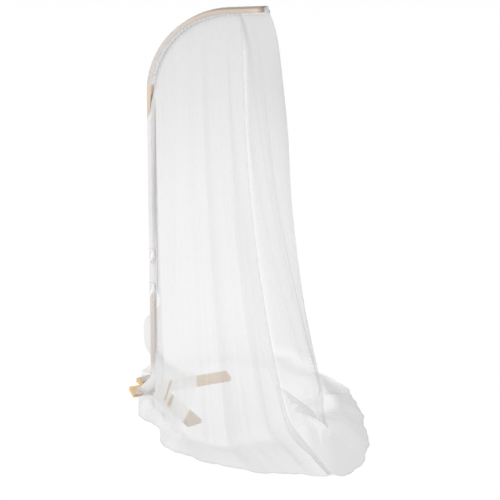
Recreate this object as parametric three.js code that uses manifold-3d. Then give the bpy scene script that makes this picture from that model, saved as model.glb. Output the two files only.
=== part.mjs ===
// A free-standing canopy stand for a cot: a bent wooden pole on a crossed foot, and a sheer curtain.
// Millimetres, +Z up. The origin is on the floor under the middle of the pole, and the arm points
// along +X. The near side is -Y, the side to which the curtain's train spreads widest.
import * as THREE from 'three';
import { mergeVertices } from 'three/addons/utils/BufferGeometryUtils.js';
import Module from 'manifold-3d';

const wasm = await Module();
wasm.setup();

// Pole: one bent lamination that runs from the foot, round the bend and out along the arm
const poleWidth = 40;
const poleThickness = 15;
const poleEase = 3; // rounding along the four edges
const bendStart = 1251; // height at which the pole begins to bend
const bendOuterRadius = 349;
const armReach = 444; // from the pole's outer face to the end of the arm
const armTilt = THREE.MathUtils.degToRad(7.5); // the arm still climbs after the bend
const poleSteps = 64;

// Foot: two flat bars, half-lapped into an X, each with its long end under the arm
const barWidth = 62;
const barThickness = 17;
const barFront = 318; // from the pole's middle to the long end
const barRear = 98; // from the pole's middle to the short end
const barCorner = 4; // rounding of the corners seen from above
const barEase = 1.5; // rounding of the top and bottom edges
const barAngle = THREE.MathUtils.degToRad(38.7); // from the arm's direction to either bar

// Joint of pole and foot: a shallow mortise, and two bolts from below into threaded inserts
const seatGap = 0.3; // between faces that rest on or fit into each other
const mortiseDepth = 4;
const boltSpacing = 22;
const boltRadius = 3;
const boltHeadRadius = 8;
const boltHeadThickness = 2.2;
const boltHeadRecess = 3.5; // depth of the counterbore under the lower bar
const boltSocketRadius = 2.2;
const boltSocketDepth = 1.6;
const insertRadius = 4.5;
const insertLength = 18;
const boltEndClearance = 2; // the bolt stops this far short of the insert's upper end
const roundSides = 24;

// Sleeve: a sewn channel pulled over the arm, with a seam below it that carries the curtain
const clothThickness = 1.6;
const sleeveGap = 0.5; // between the wood and the cloth all round
const sleeveWall = 0.8;
const sleeveDrop = 1289; // height of the sleeve's open lower end on the bend
const seamDepth = 8; // of the seam allowance below the sleeve
const sleeveSteps = 22;

// Curtain: two sheer panels that hang from the seam, spread and lie on the floor as a train
const landingReach = 715; // from the pole to where the front edges meet the floor
const landingSpread = 300; // from the arm's plane to where a panel's middle meets the floor
const trainReach = 920; // from the pole to the train's front
const trainSpread = 443; // from the arm's plane to the train's near side
const foldDepth = 17; // of the folds at the floor, either way from the panel's own line
const ridgeHeight = 14; // of the train's folds above the floor
const floorLift = 1.4; // of the train's middle layer above the floor
const sideFlareShare = 0.07; // of the spread, taken just below the seam, along the sides
const farFlareShare = 0.2; // the same at the far panel's front edge
const flareFallShare = 0.05; // of the drop, over which the cloth takes that spread
const spreadPower = 1.6;
const nearFrontPower = 2.1; // instead, at the near panel's front edge
const farTuck = 60; // of the far train's inner edge, towards the near one
const clothRise = 4; // of the cloth's middle above a foot bar that it lies on
const barMargin = 45; // the cloth stays that high this far beyond a bar's edge
const barSlope = 50; // and comes down to the floor over this length
const clothColumns = 29;
const trainRows = 4;

// Back margins of the panels, held against the pole's two side faces by the ties
const heldGap = 2.6; // from the pole's side face to the middle of the cloth on it
const heldInset = 1; // of the panels' back edges from the pole's back face
const heldTop = 1150; // height at which the margins lie flat against the pole
const heldBottom = 460; // height at which they come away from it
const looseHeight = 55; // above and below, over which they come to the pole and leave it
const looseSide = 7; // between the margin's columns where it hangs free above
const nearFoldOut = 9; // of the near margin's fold beside the pole, at the bottom
const nearFoldBack = 14;
const farFlapOut = 76; // of the far margin's flap, past the pole's side and behind it
const farFlapIn = 12;
const farPinchShare = 0.4; // of the flap's reach, lost where it swings back to the pole
const farPinchFallShare = 0.88; // of the drop, where it does so
const farPinchHeightShare = 0.07;
const farHemIn = 30; // of the flap's hem, back towards the pole
const farHemTurn = 102; // of the flap's hem, round to the near side behind the pole
const marginColumns = 3;

// Ties: a ribbon round the back of the pole at two heights, knotted on the near side
const tieHeights = [628, 484];
const ribbonWidth = 9;
const ribbonThickness = 0.8;
const ribbonGap = 0.4; // between the ribbon and what it holds
const ribbonCorner = 2.5;
const knotWidth = 13;
const knotHeight = 11;
const knotDepth = 7;
const tailLength = 52;
const tailLeans = [-11, 1]; // of the tails' ends, away from the canopy or towards it

// Shares for each panel, one row a main strand from back to front: place along the seam, landing
// as shares of landingReach and landingSpread, hem as shares of trainReach and trainSpread
const nearStrandShares = [
  [0, 0.043, 0.11, -0.02, 0.17],
  [0.06, 0.05, 0.28, -0.016, 0.334],
  [0.14, 0.09, 0.47, 0.041, 0.5],
  [0.23, 0.16, 0.62, 0.13, 0.6],
  [0.33, 0.26, 0.85, 0.214, 0.867],
  [0.45, 0.43, 1, 0.38, 0.965],
  [0.58, 0.59, 0.93, 0.6, 0.986],
  [0.71, 0.725, 0.64, 0.793, 0.9],
  [0.84, 0.825, 0.2, 0.92, 0.826],
];
const farStrandShares = [
  [0, 0.043, 0.13, -0.098, 0.208],
  [0.06, 0.05, 0.36, -0.07, 0.48],
  [0.14, 0.08, 0.58, 0.04, 0.72],
  [0.24, 0.18, 0.8, 0.17, 0.92],
  [0.37, 0.32, 0.97, 0.32, 1.02],
  [0.5, 0.48, 1, 0.47, 1.03],
  [0.63, 0.65, 0.92, 0.59, 0.88],
  [0.75, 0.82, 0.74, 0.73, 0.74],
  [0.84, 0.9, 0.6, 0.845, 0.47],
  [0.91, 0.945, 0.48, 0.93, 0.12],
  [0.96, 0.97, 0.3, 0.995, -0.32],
  [1, 0.98, 0.1, 0.94, -0.82],
];
// Rows of either panel: shares of the drop, close together where the margins meet the pole
const hangShares = [0, 0.034, 0.066, 0.108, 0.17, 0.26, 0.36, 0.46, 0.55, 0.643, 0.69, 0.8, 0.88, 1];

// Lengths that follow from the sizes above
const poleFoot = barThickness - mortiseDepth + seatGap;
const bendRadius = bendOuterRadius - poleThickness / 2;
const bendAngle = Math.PI / 2 - armTilt;
const straightLength = bendStart - poleFoot;
const bendLength = bendRadius * bendAngle;
const armLength = (armReach - poleThickness / 2 - bendRadius * (1 - Math.sin(armTilt))) / Math.cos(armTilt);
const poleLength = straightLength + bendLength + armLength;
const sleeveStart = straightLength + bendRadius * Math.asin((sleeveDrop - bendStart) / bendRadius);
const sleeveSide = poleThickness / 2 + sleeveGap + sleeveWall;
const seamInset = sleeveSide + seamDepth + seatGap;

// Materials: the pale wood, the sheer net, the ribbon and the steel and brass of the joint
const wood = { color: 0xdcc29c, roughness: 0.55, metalness: 0 };
const net = { color: 0xf3f2f0, roughness: 0.9, metalness: 0, transparent: true, opacity: 0.4 };
const ribbon = { color: 0xf6f5f2, roughness: 0.8, metalness: 0 };
const steel = { color: 0xb9bcc0, roughness: 0.35, metalness: 1 };
const brass = { color: 0xc9a65a, roughness: 0.4, metalness: 1 };

// A point on the pole's middle line, at a length from its foot, moved in towards the canopy
function bowPoint(length, inward) {
  const turned = THREE.MathUtils.clamp((length - straightLength) / bendRadius, 0, bendAngle);
  const along = Math.max(length - straightLength - bendLength, 0);
  const up = Math.min(length, straightLength);
  const x = bendRadius * (1 - Math.cos(turned)) + along * Math.sin(turned);
  const z = poleFoot + up + bendRadius * Math.sin(turned) + along * Math.cos(turned);
  return new THREE.Vector3(x + inward * Math.cos(turned), 0, z - inward * Math.sin(turned));
}

class BowPath extends THREE.Curve {
  constructor(start, end) {
    super();
    this.start = start;
    this.end = end;
  }

  getPoint(share, target = new THREE.Vector3()) {
    return target.copy(bowPoint(THREE.MathUtils.lerp(this.start, this.end, share), 0));
  }
}

// Solids for cutting and joining
function solidFrom(geometry) {
  const bare = geometry.clone();
  bare.deleteAttribute('normal');
  bare.deleteAttribute('uv');
  const merged = mergeVertices(bare);
  const vertProperties = new Float32Array(merged.attributes.position.array);
  const triVerts = new Uint32Array(merged.index.array);
  return new wasm.Manifold(new wasm.Mesh({ numProp: 3, vertProperties, triVerts }));
}

function geometryFrom(solid) {
  const { vertProperties, triVerts } = solid.getMesh();
  const geometry = new THREE.BufferGeometry();
  geometry.setAttribute('position', new THREE.BufferAttribute(new Float32Array(vertProperties), 3));
  geometry.setIndex(new THREE.BufferAttribute(new Uint32Array(triVerts), 1));
  geometry.computeVertexNormals();
  return geometry;
}

function part(name, geometry, finish) {
  const mesh = new THREE.Mesh(geometry, new THREE.MeshStandardMaterial(finish));
  mesh.name = name;
  return mesh;
}

// A rectangle with round corners, centred on a point
function roundedRectangle(width, height, radius, centreX = 0, centreY = 0) {
  const x = width / 2 - radius;
  const y = height / 2 - radius;
  const shape = new THREE.Shape();
  shape.absarc(centreX + x, centreY + y, radius, 0, Math.PI / 2);
  shape.absarc(centreX - x, centreY + y, radius, Math.PI / 2, Math.PI);
  shape.absarc(centreX - x, centreY - y, radius, Math.PI, Math.PI * 1.5);
  shape.absarc(centreX + x, centreY - y, radius, Math.PI * 1.5, Math.PI * 2);
  return shape;
}

// A section swept along the bow: its x runs across the pole and its y in towards the canopy
function sweep(section, start, end, steps) {
  return new THREE.ExtrudeGeometry(section, {
    steps, extrudePath: new BowPath(start, end), curveSegments: 3,
  });
}

function roundBar(radius, bottom, top) {
  const height = top - bottom;
  const geometry = new THREE.CylinderGeometry(radius, radius, height, roundSides);
  geometry.rotateX(Math.PI / 2);
  geometry.translate(0, 0, bottom + height / 2);
  return geometry;
}

function boltPlaces() {
  return [-boltSpacing / 2, boltSpacing / 2];
}

// Pole
function bentPole() {
  const section = roundedRectangle(poleWidth, poleThickness, poleEase);
  let pole = solidFrom(sweep(section, 0, poleLength, poleSteps));
  for (const y of boltPlaces()) {
    const top = poleFoot + insertLength + seatGap;
    const hole = roundBar(insertRadius + seatGap, poleFoot - mortiseDepth, top);
    hole.translate(0, y, 0);
    pole = pole.subtract(solidFrom(hole));
  }
  return part('pole', geometryFrom(pole), wood);
}

// Foot bars: the lower one keeps its lower half at the crossing, the upper one its upper half
function footBar(name, turn, upper) {
  const length = barFront + barRear;
  const outline = roundedRectangle(length, barWidth, barCorner, barFront - length / 2, 0);
  const plank = new THREE.ExtrudeGeometry(outline, {
    depth: barThickness - 2 * barEase, bevelThickness: barEase, bevelSize: barEase,
    bevelOffset: -barEase, bevelSegments: 2, curveSegments: 4,
  });
  plank.translate(0, 0, barEase);
  let bar = solidFrom(plank);

  const notchWidth = barWidth + 2 * seatGap;
  const notch = new THREE.BoxGeometry(3 * barWidth, notchWidth, barThickness);
  const notchMiddle = upper ? seatGap / 2 : barThickness - seatGap / 2;
  notch.translate(0, 0, notchMiddle);
  notch.rotateZ(-2 * turn);
  bar = bar.subtract(solidFrom(notch));

  for (const y of boltPlaces()) {
    const hole = roundBar(boltRadius + seatGap, -barThickness, 2 * barThickness);
    hole.translate(0, y, 0);
    hole.rotateZ(-turn);
    bar = bar.subtract(solidFrom(hole));
    if (!upper) {
      const recess = roundBar(boltHeadRadius + seatGap, -barThickness, boltHeadRecess);
      recess.translate(0, y, 0);
      recess.rotateZ(-turn);
      bar = bar.subtract(solidFrom(recess));
    }
  }
  if (upper) {
    const outlineOfPole = roundedRectangle(
      poleThickness + 2 * seatGap, poleWidth + 2 * seatGap, poleEase + seatGap);
    const mortise = new THREE.ExtrudeGeometry(outlineOfPole, {
      depth: barThickness, bevelEnabled: false, curveSegments: 3,
    });
    mortise.translate(0, 0, barThickness - mortiseDepth);
    mortise.rotateZ(-turn);
    bar = bar.subtract(solidFrom(mortise));
  }
  const mesh = part(name, geometryFrom(bar), wood);
  mesh.rotation.z = turn;
  return mesh;
}

// Bolts with flat socket heads, and the inserts that they screw into
function footBolt(name, y) {
  const headTop = boltHeadRecess - seatGap;
  const headBottom = headTop - boltHeadThickness;
  const tip = poleFoot + insertLength - boltEndClearance;
  const profile = [
    new THREE.Vector2(0, headBottom),
    new THREE.Vector2(boltHeadRadius, headBottom),
    new THREE.Vector2(boltHeadRadius, headTop),
    new THREE.Vector2(boltRadius, headTop),
    new THREE.Vector2(boltRadius, tip),
    new THREE.Vector2(0, tip),
  ];
  const turned = new THREE.LatheGeometry(profile, roundSides);
  turned.rotateX(Math.PI / 2);
  const socket = new THREE.CylinderGeometry(boltSocketRadius, boltSocketRadius, 2 * boltSocketDepth, 6);
  socket.rotateX(Math.PI / 2);
  socket.translate(0, 0, headBottom);
  const mesh = part(name, geometryFrom(solidFrom(turned).subtract(solidFrom(socket))), steel);
  mesh.position.y = y;
  return mesh;
}

function threadedInsert(name, y) {
  const bottom = poleFoot + seatGap;
  const top = poleFoot + insertLength;
  const bore = boltRadius + seatGap;
  const profile = [
    new THREE.Vector2(bore, bottom),
    new THREE.Vector2(insertRadius, bottom),
    new THREE.Vector2(insertRadius, top),
    new THREE.Vector2(bore, top),
    new THREE.Vector2(bore, bottom),
  ];
  const ring = new THREE.LatheGeometry(profile, roundSides);
  ring.rotateX(Math.PI / 2);
  const mesh = part(name, geometryFrom(solidFrom(ring)), brass);
  mesh.position.y = y;
  return mesh;
}

// Sleeve: open at its lower end, sewn shut just past the end of the arm
function armSleeve() {
  const innerWidth = poleWidth + 2 * sleeveGap;
  const innerHeight = poleThickness + 2 * sleeveGap;
  const outer = roundedRectangle(
    innerWidth + 2 * sleeveWall, innerHeight + 2 * sleeveWall, poleEase + sleeveGap + sleeveWall);
  const inner = roundedRectangle(innerWidth, innerHeight, poleEase + sleeveGap);
  const seam = new THREE.Shape();
  const seamTop = sleeveSide - sleeveWall / 2;
  const seamBottom = sleeveSide + seamDepth;
  seam.moveTo(-clothThickness / 2, seamTop);
  seam.lineTo(clothThickness / 2, seamTop);
  seam.lineTo(clothThickness / 2, seamBottom);
  seam.lineTo(-clothThickness / 2, seamBottom);
  const innerEnd = poleLength + sleeveGap;
  const outerEnd = innerEnd + sleeveWall;
  const solid = solidFrom(sweep(outer, sleeveStart, outerEnd, sleeveSteps))
    .add(solidFrom(sweep(seam, sleeveStart, outerEnd, sleeveSteps)))
    .subtract(solidFrom(sweep(inner, sleeveStart - barWidth, innerEnd, sleeveSteps + 2)));
  return part('canopy_sleeve', geometryFrom(solid), net);
}

// How far a strand has gone from its place on the seam to its landing, at a share of its drop
function spreadAt(side, fall, across) {
  const frontFlare = side > 0 ? farFlareShare : sideFlareShare;
  const frontPower = side > 0 ? spreadPower : nearFrontPower;
  const most = THREE.MathUtils.lerp(sideFlareShare, frontFlare, across ** 4);
  const power = THREE.MathUtils.lerp(spreadPower, frontPower, across ** 4);
  return most * (1 - Math.exp(-fall / flareFallShare)) + (1 - most) * fall ** power;
}

// Height of the cloth's middle layer where it lies: on the floor, or over a foot bar
function groundHeight(x, y) {
  let height = floorLift;
  for (const turn of [barAngle, -barAngle]) {
    const along = x * Math.cos(turn) + y * Math.sin(turn);
    const across = Math.abs(y * Math.cos(turn) - x * Math.sin(turn));
    const past = Math.max(-along - barRear, along - barFront, across - barWidth / 2, 0);
    const share = 1 - THREE.MathUtils.smoothstep(past, barMargin, barMargin + barSlope);
    height = Math.max(height, floorLift + share * (barThickness + clothRise - floorLift));
  }
  return height;
}

// Each row's place on a strand: its share of the drop, then its share of the way along the train
function rowPlaces() {
  const places = hangShares.map((fall) => ({ fall, lie: 0 }));
  for (let row = 1; row <= trainRows; row++) places.push({ fall: 1, lie: row / trainRows });
  return places;
}

function tableCurve(points) {
  return new THREE.CatmullRomCurve3(points, false, 'catmullrom', 0.5);
}

// The grid of middle points of one panel, on the near side (-1) or the far side (1)
function panelMiddle(side, strandShares, folds) {
  const sideGap = clothThickness / 2 + 2 * seatGap;
  const starts = tableCurve(strandShares.map(([seam, x, y]) => new THREE.Vector3(seam, x, y)));
  const hems = tableCurve(strandShares.map(([, , , x, y]) => new THREE.Vector3(x, y, 0)));

  function strand(across) {
    const start = starts.getPoint(across);
    const hem = hems.getPoint(across);
    const top = bowPoint(THREE.MathUtils.lerp(sleeveStart, poleLength, start.x), seamInset);
    top.y = side * sideGap;
    const landing = new THREE.Vector3(start.y * landingReach, side * start.z * landingSpread, 0);
    const end = new THREE.Vector3(hem.x * trainReach, side * hem.y * trainSpread, 0);
    return { top, landing, end };
  }

  // Folds move the cloth square to the line of its landings, and fade towards the seam
  function mainPoint(across, { fall, lie }) {
    const { top, landing, end } = strand(across);
    const before = strand(Math.max(across - 1 / clothColumns, 0)).landing;
    const after = strand(Math.min(across + 1 / clothColumns, 1)).landing;
    const outward = new THREE.Vector3(before.y - after.y, after.x - before.x, 0).normalize();
    const wave = Math.sin(2 * Math.PI * folds * across);
    const point = top.clone().lerp(landing, spreadAt(side, fall, across));
    if (lie > 0) point.lerp(end, lie);
    if (side > 0) point.y -= farTuck * across ** 8 * Math.sin(Math.PI * lie);
    const apart = Math.max(Math.abs(point.y) - sideGap, 0);
    const depth = Math.min(foldDepth * Math.sqrt(fall), apart / 3);
    point.addScaledVector(outward, depth * wave * (1 - lie));
    const ridge = ridgeHeight * (1 + wave) / 2 * Math.sin(Math.PI * lie);
    point.z = Math.max(top.z * (1 - fall), groundHeight(point.x, point.y) + ridge);
    return point;
  }

  // Where the margin's columns lie: held flat on the pole's side, loose above, open below
  function marginPoint(column, place) {
    const share = column / marginColumns;
    const base = mainPoint(0, place);
    const back = poleThickness / 2;
    const held = new THREE.Vector3(
      THREE.MathUtils.lerp(back + heldGap, heldInset - back, (column - 1) / (marginColumns - 1)),
      side * (poleWidth / 2 + heldGap), base.z);
    const loose = base.clone();
    loose.y += side * looseSide * column * THREE.MathUtils.smoothstep(
      -base.z, -sleeveDrop, -heldTop - looseHeight);
    const open = base.clone();
    if (side < 0) {
      open.x += nearFoldOut * Math.sin(Math.PI * share) - share * heldGap;
      open.y -= nearFoldBack * Math.sin(Math.PI * share);
    } else {
      const pinch = Math.exp(-(((place.fall - farPinchFallShare) / farPinchHeightShare) ** 2));
      const out = farFlapOut * (1 - farPinchShare * pinch);
      const hanging = Math.max(base.y, held.y) - farFlapIn * share ** 3;
      open.x += share * THREE.MathUtils.lerp(-out, farHemIn, place.lie);
      open.y = THREE.MathUtils.lerp(hanging, base.y - farHemTurn * share, place.lie);
    }
    const above = THREE.MathUtils.smoothstep(base.z, heldTop, heldTop + looseHeight);
    const below = THREE.MathUtils.smoothstep(-base.z, -heldBottom, looseHeight - heldBottom);
    const point = held.lerp(loose, above).lerp(open, below);
    point.z = Math.max(point.z, groundHeight(point.x, point.y));
    return point;
  }

  const grid = [];
  for (let column = marginColumns; column > 0; column--) {
    grid.push(rowPlaces().map((place) => marginPoint(column, place)));
  }
  for (let column = 0; column <= clothColumns; column++) {
    grid.push(rowPlaces().map((place) => mainPoint(column / clothColumns, place)));
  }
  return grid;
}

// A closed sheet of even thickness round a grid of middle points
function thickSheet(grid, thickness) {
  const columns = grid.length;
  const rows = grid[0].length;
  const positions = [];
  const normalAt = (i, j) => {
    const along = grid[Math.min(i + 1, columns - 1)][j].clone().sub(grid[Math.max(i - 1, 0)][j]);
    const down = grid[i][Math.min(j + 1, rows - 1)].clone().sub(grid[i][Math.max(j - 1, 0)]);
    return along.cross(down).normalize();
  };
  for (const layer of [0.5, -0.5]) {
    for (let i = 0; i < columns; i++) {
      for (let j = 0; j < rows; j++) {
        const point = grid[i][j].clone().addScaledVector(normalAt(i, j), layer * thickness);
        positions.push(point.x, point.y, point.z);
      }
    }
  }
  const index = [];
  const at = (layer, i, j) => (layer * columns + i) * rows + j;
  const quad = (a, b, c, d) => index.push(a, b, c, a, c, d);
  for (let i = 0; i < columns - 1; i++) {
    for (let j = 0; j < rows - 1; j++) {
      quad(at(0, i, j), at(0, i + 1, j), at(0, i + 1, j + 1), at(0, i, j + 1));
      quad(at(1, i, j), at(1, i, j + 1), at(1, i + 1, j + 1), at(1, i + 1, j));
    }
  }
  for (let i = 0; i < columns - 1; i++) {
    quad(at(1, i, 0), at(1, i + 1, 0), at(0, i + 1, 0), at(0, i, 0));
    quad(at(0, i, rows - 1), at(0, i + 1, rows - 1), at(1, i + 1, rows - 1), at(1, i, rows - 1));
  }
  for (let j = 0; j < rows - 1; j++) {
    quad(at(0, 0, j), at(0, 0, j + 1), at(1, 0, j + 1), at(1, 0, j));
    quad(at(1, columns - 1, j), at(1, columns - 1, j + 1), at(0, columns - 1, j + 1), at(0, columns - 1, j));
  }
  const geometry = new THREE.BufferGeometry();
  geometry.setAttribute('position', new THREE.Float32BufferAttribute(positions, 3));
  geometry.setIndex(index);
  geometry.computeVertexNormals();
  return geometry;
}

function curtainPanel(name, side, strandShares, folds) {
  return part(name, thickSheet(panelMiddle(side, strandShares, folds), clothThickness), net);
}

// Ties: a ribbon round the back of the pole from one margin to the other, with a knot and two tails
function backTie(name, height) {
  const inner = poleWidth / 2 + heldGap + clothThickness / 2 + ribbonGap;
  const back = poleThickness / 2 + ribbonGap;
  const front = poleThickness / 2;
  const outline = new THREE.Shape();
  const outerCorner = ribbonCorner + ribbonThickness;
  outline.moveTo(front, -inner - ribbonThickness);
  outline.lineTo(front, -inner);
  outline.absarc(ribbonCorner - back, ribbonCorner - inner, ribbonCorner, -Math.PI / 2, -Math.PI, true);
  outline.absarc(ribbonCorner - back, inner - ribbonCorner, ribbonCorner, Math.PI, Math.PI / 2, true);
  outline.lineTo(front, inner);
  outline.lineTo(front, inner + ribbonThickness);
  outline.absarc(ribbonCorner - back, inner - ribbonCorner, outerCorner, Math.PI / 2, Math.PI);
  outline.absarc(ribbonCorner - back, ribbonCorner - inner, outerCorner, -Math.PI, -Math.PI / 2);
  const band = new THREE.ExtrudeGeometry(outline, {
    depth: ribbonWidth, bevelEnabled: false, curveSegments: 3,
  });
  band.translate(0, 0, height - ribbonWidth / 2);

  const knotY = -inner - knotDepth / 2;
  const knot = new THREE.SphereGeometry(1, 12, 8);
  knot.scale(knotWidth / 2, knotDepth / 2, knotHeight / 2);
  knot.translate(0, knotY, height);
  let tie = solidFrom(band).add(solidFrom(knot));

  tailLeans.forEach((lean, layer) => {
    const tail = new THREE.Shape();
    const left = lean - ribbonWidth / 2;
    const right = lean + ribbonWidth / 2;
    tail.moveTo(-ribbonWidth / 2, 0);
    tail.quadraticCurveTo(left, -tailLength / 3, left, -tailLength);
    tail.lineTo(right, -tailLength - ribbonWidth / 2);
    tail.quadraticCurveTo(right, -tailLength / 3, ribbonWidth / 2, 0);
    const strip = new THREE.ExtrudeGeometry(tail, {
      depth: ribbonThickness, bevelEnabled: false, curveSegments: 5,
    });
    strip.rotateX(Math.PI / 2);
    strip.translate(0, knotY - 2 * ribbonThickness * layer, height);
    tie = tie.add(solidFrom(strip));
  });
  return part(name, geometryFrom(tie), ribbon);
}

const canopyStand = new THREE.Group();
const foot = new THREE.Group();
foot.add(
  footBar('foot_bar_lower', barAngle, false),
  footBar('foot_bar_upper', -barAngle, true),
  footBolt('foot_bolt_near', -boltSpacing / 2),
  footBolt('foot_bolt_far', boltSpacing / 2),
);
const upright = new THREE.Group();
upright.add(
  bentPole(),
  threadedInsert('threaded_insert_near', -boltSpacing / 2),
  threadedInsert('threaded_insert_far', boltSpacing / 2),
);
const canopy = new THREE.Group();
canopy.add(
  armSleeve(),
  curtainPanel('curtain_near', -1, nearStrandShares, 6),
  curtainPanel('curtain_far', 1, farStrandShares, 7),
  backTie('tie_upper', tieHeights[0]),
  backTie('tie_lower', tieHeights[1]),
);
canopyStand.add(foot, upright, canopy);

export default canopyStand;
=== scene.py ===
# %% [markdown]
# # A canopy stand with a net curtain
# A bent wooden strip stands on a crossed foot and reaches over like a shepherd's crook. A sheer
# net canopy hangs from a sleeve on its arm, is tied behind the pole and runs out on the floor. The
# frame loads the measured model first, so that every piece below has a place to fit into.

# %% The frame
import math

import bpy
import numpy as np
from mathutils import Matrix, Vector


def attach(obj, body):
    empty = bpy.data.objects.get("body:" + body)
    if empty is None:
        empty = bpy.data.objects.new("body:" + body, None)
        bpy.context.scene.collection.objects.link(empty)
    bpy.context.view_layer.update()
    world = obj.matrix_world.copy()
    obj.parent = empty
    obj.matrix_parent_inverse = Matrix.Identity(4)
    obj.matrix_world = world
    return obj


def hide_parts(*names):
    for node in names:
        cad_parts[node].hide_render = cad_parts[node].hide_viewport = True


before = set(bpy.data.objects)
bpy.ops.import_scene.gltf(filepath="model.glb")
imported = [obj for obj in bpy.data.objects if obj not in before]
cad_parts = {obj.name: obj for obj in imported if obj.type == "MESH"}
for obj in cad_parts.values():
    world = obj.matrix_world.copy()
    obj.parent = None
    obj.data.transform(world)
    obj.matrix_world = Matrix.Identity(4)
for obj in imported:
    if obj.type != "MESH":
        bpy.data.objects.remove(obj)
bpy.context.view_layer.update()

print("nodes:", ", ".join(sorted(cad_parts)))

# %% [markdown]
# ## The camera
# The photograph was taken from a ladder's height with a long lens, a little to the near side of the
# arm's end. A camera can be aimed by hand, but a fitted one is steadier: the foot, the pole and the
# arm's tip fix its place, its aim and its small roll. It comes first, since everything is judged
# through it.

# %% The camera
focal_in_image_widths = 2.8
camera_distance = 4.9417
camera_height = 2.8346
camera_side = math.radians(22.3)
camera_aim = math.radians(-4.36)
camera_pitch = math.radians(24.13)
camera_roll = math.radians(1.02)


def aim_camera():
    """Places the camera from its distance, side and height, with its own three turns."""
    turn = camera_side + camera_aim
    ahead = Vector((
        -math.sin(turn) * math.cos(camera_pitch),
        math.cos(turn) * math.cos(camera_pitch),
        -math.sin(camera_pitch),
    ))
    right = Vector((math.cos(turn), math.sin(turn), 0.0))
    up = right.cross(ahead)
    rolled_right = right * math.cos(camera_roll) + up * math.sin(camera_roll)
    rolled_up = up * math.cos(camera_roll) - right * math.sin(camera_roll)
    place = Vector((
        math.sin(camera_side) * camera_distance,
        -math.cos(camera_side) * camera_distance,
        camera_height,
    ))
    data = bpy.data.cameras.new("camera")
    data.sensor_width = 36.0
    data.lens = data.sensor_width * focal_in_image_widths
    data.clip_end = 60.0
    camera = bpy.data.objects.new("camera", data)
    bpy.context.scene.collection.objects.link(camera)
    camera.matrix_world = Matrix((
        (rolled_right.x, rolled_up.x, -ahead.x, place.x),
        (rolled_right.y, rolled_up.y, -ahead.y, place.y),
        (rolled_right.z, rolled_up.z, -ahead.z, place.z),
        (0.0, 0.0, 0.0, 1.0),
    ))
    bpy.context.scene.camera = camera
    return camera


camera = aim_camera()
print("camera at", [round(v, 3) for v in camera.location])

# %% [markdown]
# ## The pole's line
# The strip is one lamination: a straight run up from the foot, a part of a circle, and a short
# arm that still climbs a little. Sleeve, seam and curtain all hang from this line, so it is written
# once as a function of the length along it.

# %% The pole's line
pole_width = 0.040
pole_thickness = 0.015
pole_ease = 0.003
bend_start = 1.251
bend_outer_radius = 0.349
arm_reach = 0.444
arm_tilt = math.radians(7.5)
bar_thickness = 0.017
bar_width = 0.062
bar_front = 0.318
bar_rear = 0.098
bar_angle = math.radians(38.7)
mortise_depth = 0.004
seating_gap = 0.0003
pole_foot = bar_thickness - mortise_depth + seating_gap
bend_radius = bend_outer_radius - pole_thickness / 2
bend_angle = math.pi / 2 - arm_tilt
straight_length = bend_start - pole_foot
bend_length = bend_radius * bend_angle
arm_length = (
    arm_reach - pole_thickness / 2 - bend_radius * (1 - math.sin(arm_tilt))
) / math.cos(arm_tilt)
pole_length = straight_length + bend_length + arm_length
sleeve_drop = 1.289
sleeve_start = straight_length + bend_radius * math.asin((sleeve_drop - bend_start) / bend_radius)


def bow_point(length, inward=0.0):
    """Points of the pole's middle plane at lengths from its foot, moved in towards the canopy."""
    length = np.asarray(length, float)
    turned = np.clip((length - straight_length) / bend_radius, 0, bend_angle)
    along = np.maximum(length - straight_length - bend_length, 0)
    up = np.minimum(length, straight_length)
    x = bend_radius * (1 - np.cos(turned)) + along * np.sin(turned) + inward * np.cos(turned)
    z = pole_foot + up + bend_radius * np.sin(turned) + along * np.cos(turned)
    z = z - inward * np.sin(turned)
    return np.stack([x, np.zeros_like(x), z], axis=-1)


print("length of the pole:", round(pole_length, 3))

# %% [markdown]
# ## Helpers for modelling
# Operators act on whatever is selected, and the frame leaves its nodes selected. So each new piece
# starts by deselecting all. A finished piece keeps its place in its mesh, with its object at the
# origin. Sheets of net are made from a grid of points, since a curtain has no primitive to start
# from.

# %% Helpers for modelling
def start_clean():
    """Leaves edit mode and deselects everything."""
    if bpy.context.object and bpy.context.object.mode != "OBJECT":
        bpy.ops.object.mode_set(mode="OBJECT")
    bpy.ops.object.select_all(action="DESELECT")


def settle(piece, name, material, smooth_angle=35.0):
    """Names a new piece, moves its place into its mesh, shades it and ties it to the frame."""
    start_clean()
    piece.name = name
    piece.data.name = name
    piece.select_set(True)
    bpy.context.view_layer.objects.active = piece
    bpy.ops.object.transform_apply(location=True, rotation=True, scale=True)
    bpy.ops.object.shade_smooth_by_angle(angle=math.radians(smooth_angle))
    piece.select_set(False)
    piece.data.materials.clear()
    piece.data.materials.append(material)
    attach(piece, "root")
    return piece


def apply_modifiers(piece):
    """Applies a piece's modifiers from the first to the last."""
    start_clean()
    piece.select_set(True)
    bpy.context.view_layer.objects.active = piece
    for modifier in list(piece.modifiers):
        bpy.ops.object.modifier_apply(modifier=modifier.name)
    piece.select_set(False)


def sheet_from_grid(name, grid, cloth_uv):
    """A smooth mesh from a grid of points, columns by rows, with the cloth's own UV map."""
    columns, rows = grid.shape[:2]
    column, row = np.meshgrid(np.arange(columns - 1), np.arange(rows - 1), indexing="ij")
    first = column * rows + row
    faces = np.stack([first, first + rows, first + rows + 1, first + 1], -1)
    mesh = bpy.data.meshes.new(name)
    mesh.from_pydata(grid.reshape(-1, 3).tolist(), [], faces.reshape(-1, 4).tolist())
    layer = mesh.uv_layers.new(name="cloth")
    corner_points = np.empty(len(mesh.loops), np.int32)
    mesh.loops.foreach_get("vertex_index", corner_points)
    layer.data.foreach_set("uv", cloth_uv.reshape(-1, 2)[corner_points].astype(np.float32).ravel())
    mesh.shade_smooth()
    piece = bpy.data.objects.new(name, mesh)
    bpy.context.scene.collection.objects.link(piece)
    return piece


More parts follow.
